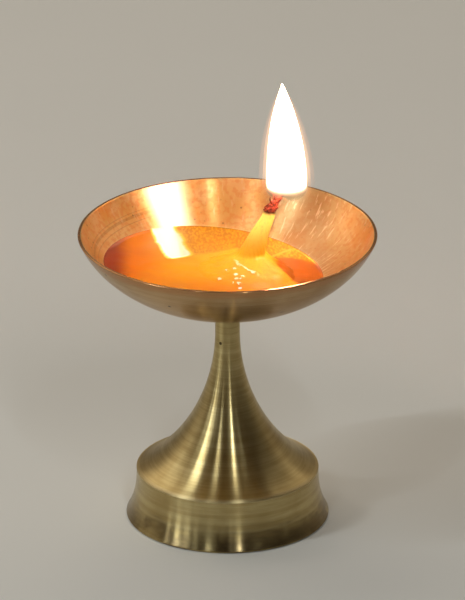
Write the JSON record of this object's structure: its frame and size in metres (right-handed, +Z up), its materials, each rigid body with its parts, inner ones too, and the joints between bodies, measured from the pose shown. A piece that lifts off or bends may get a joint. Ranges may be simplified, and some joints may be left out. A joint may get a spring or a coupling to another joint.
{
  "type": "oil lamp",
  "caption": "Lit brass oil lamp: a shallow turned bowl of ghee with a cotton wick and its flame, on a slender stem and a flared hollow foot.",
  "frame": {"origin": "on the lamp's axis, at the surface that the foot stands on", "axes": "+Z up along the lamp's axis, +X to the side that the wick leans to"},
  "size_m": [0.06, 0.06, 0.0896],
  "materials": {
    "stand_brass": "satin",
    "bowl_brass": "satin",
    "ghee": "gloss",
    "soaked_cotton": "satin",
    "burnt_cotton": "matte",
    "flame": "matte"
  },
  "bodies": {
    "stand": {"pedestal": "stand_brass"},
    "cup": {"bowl": "bowl_brass", "ghee": "ghee"},
    "lit_wick": {"wick": "soaked_cotton", "wick_char": "burnt_cotton", "flame": "flame"}
  },
  "joints": [
    {"name": "bowl_off", "type": "slide", "parent": "stand", "child": "cup", "axis": [0, 0, 1], "range_m": [0, 0.012]},
    {"name": "wick_out", "type": "slide", "parent": "cup", "child": "lit_wick", "axis": [0, 0, 1], "range_m": [0, 0.02]}
  ]
}
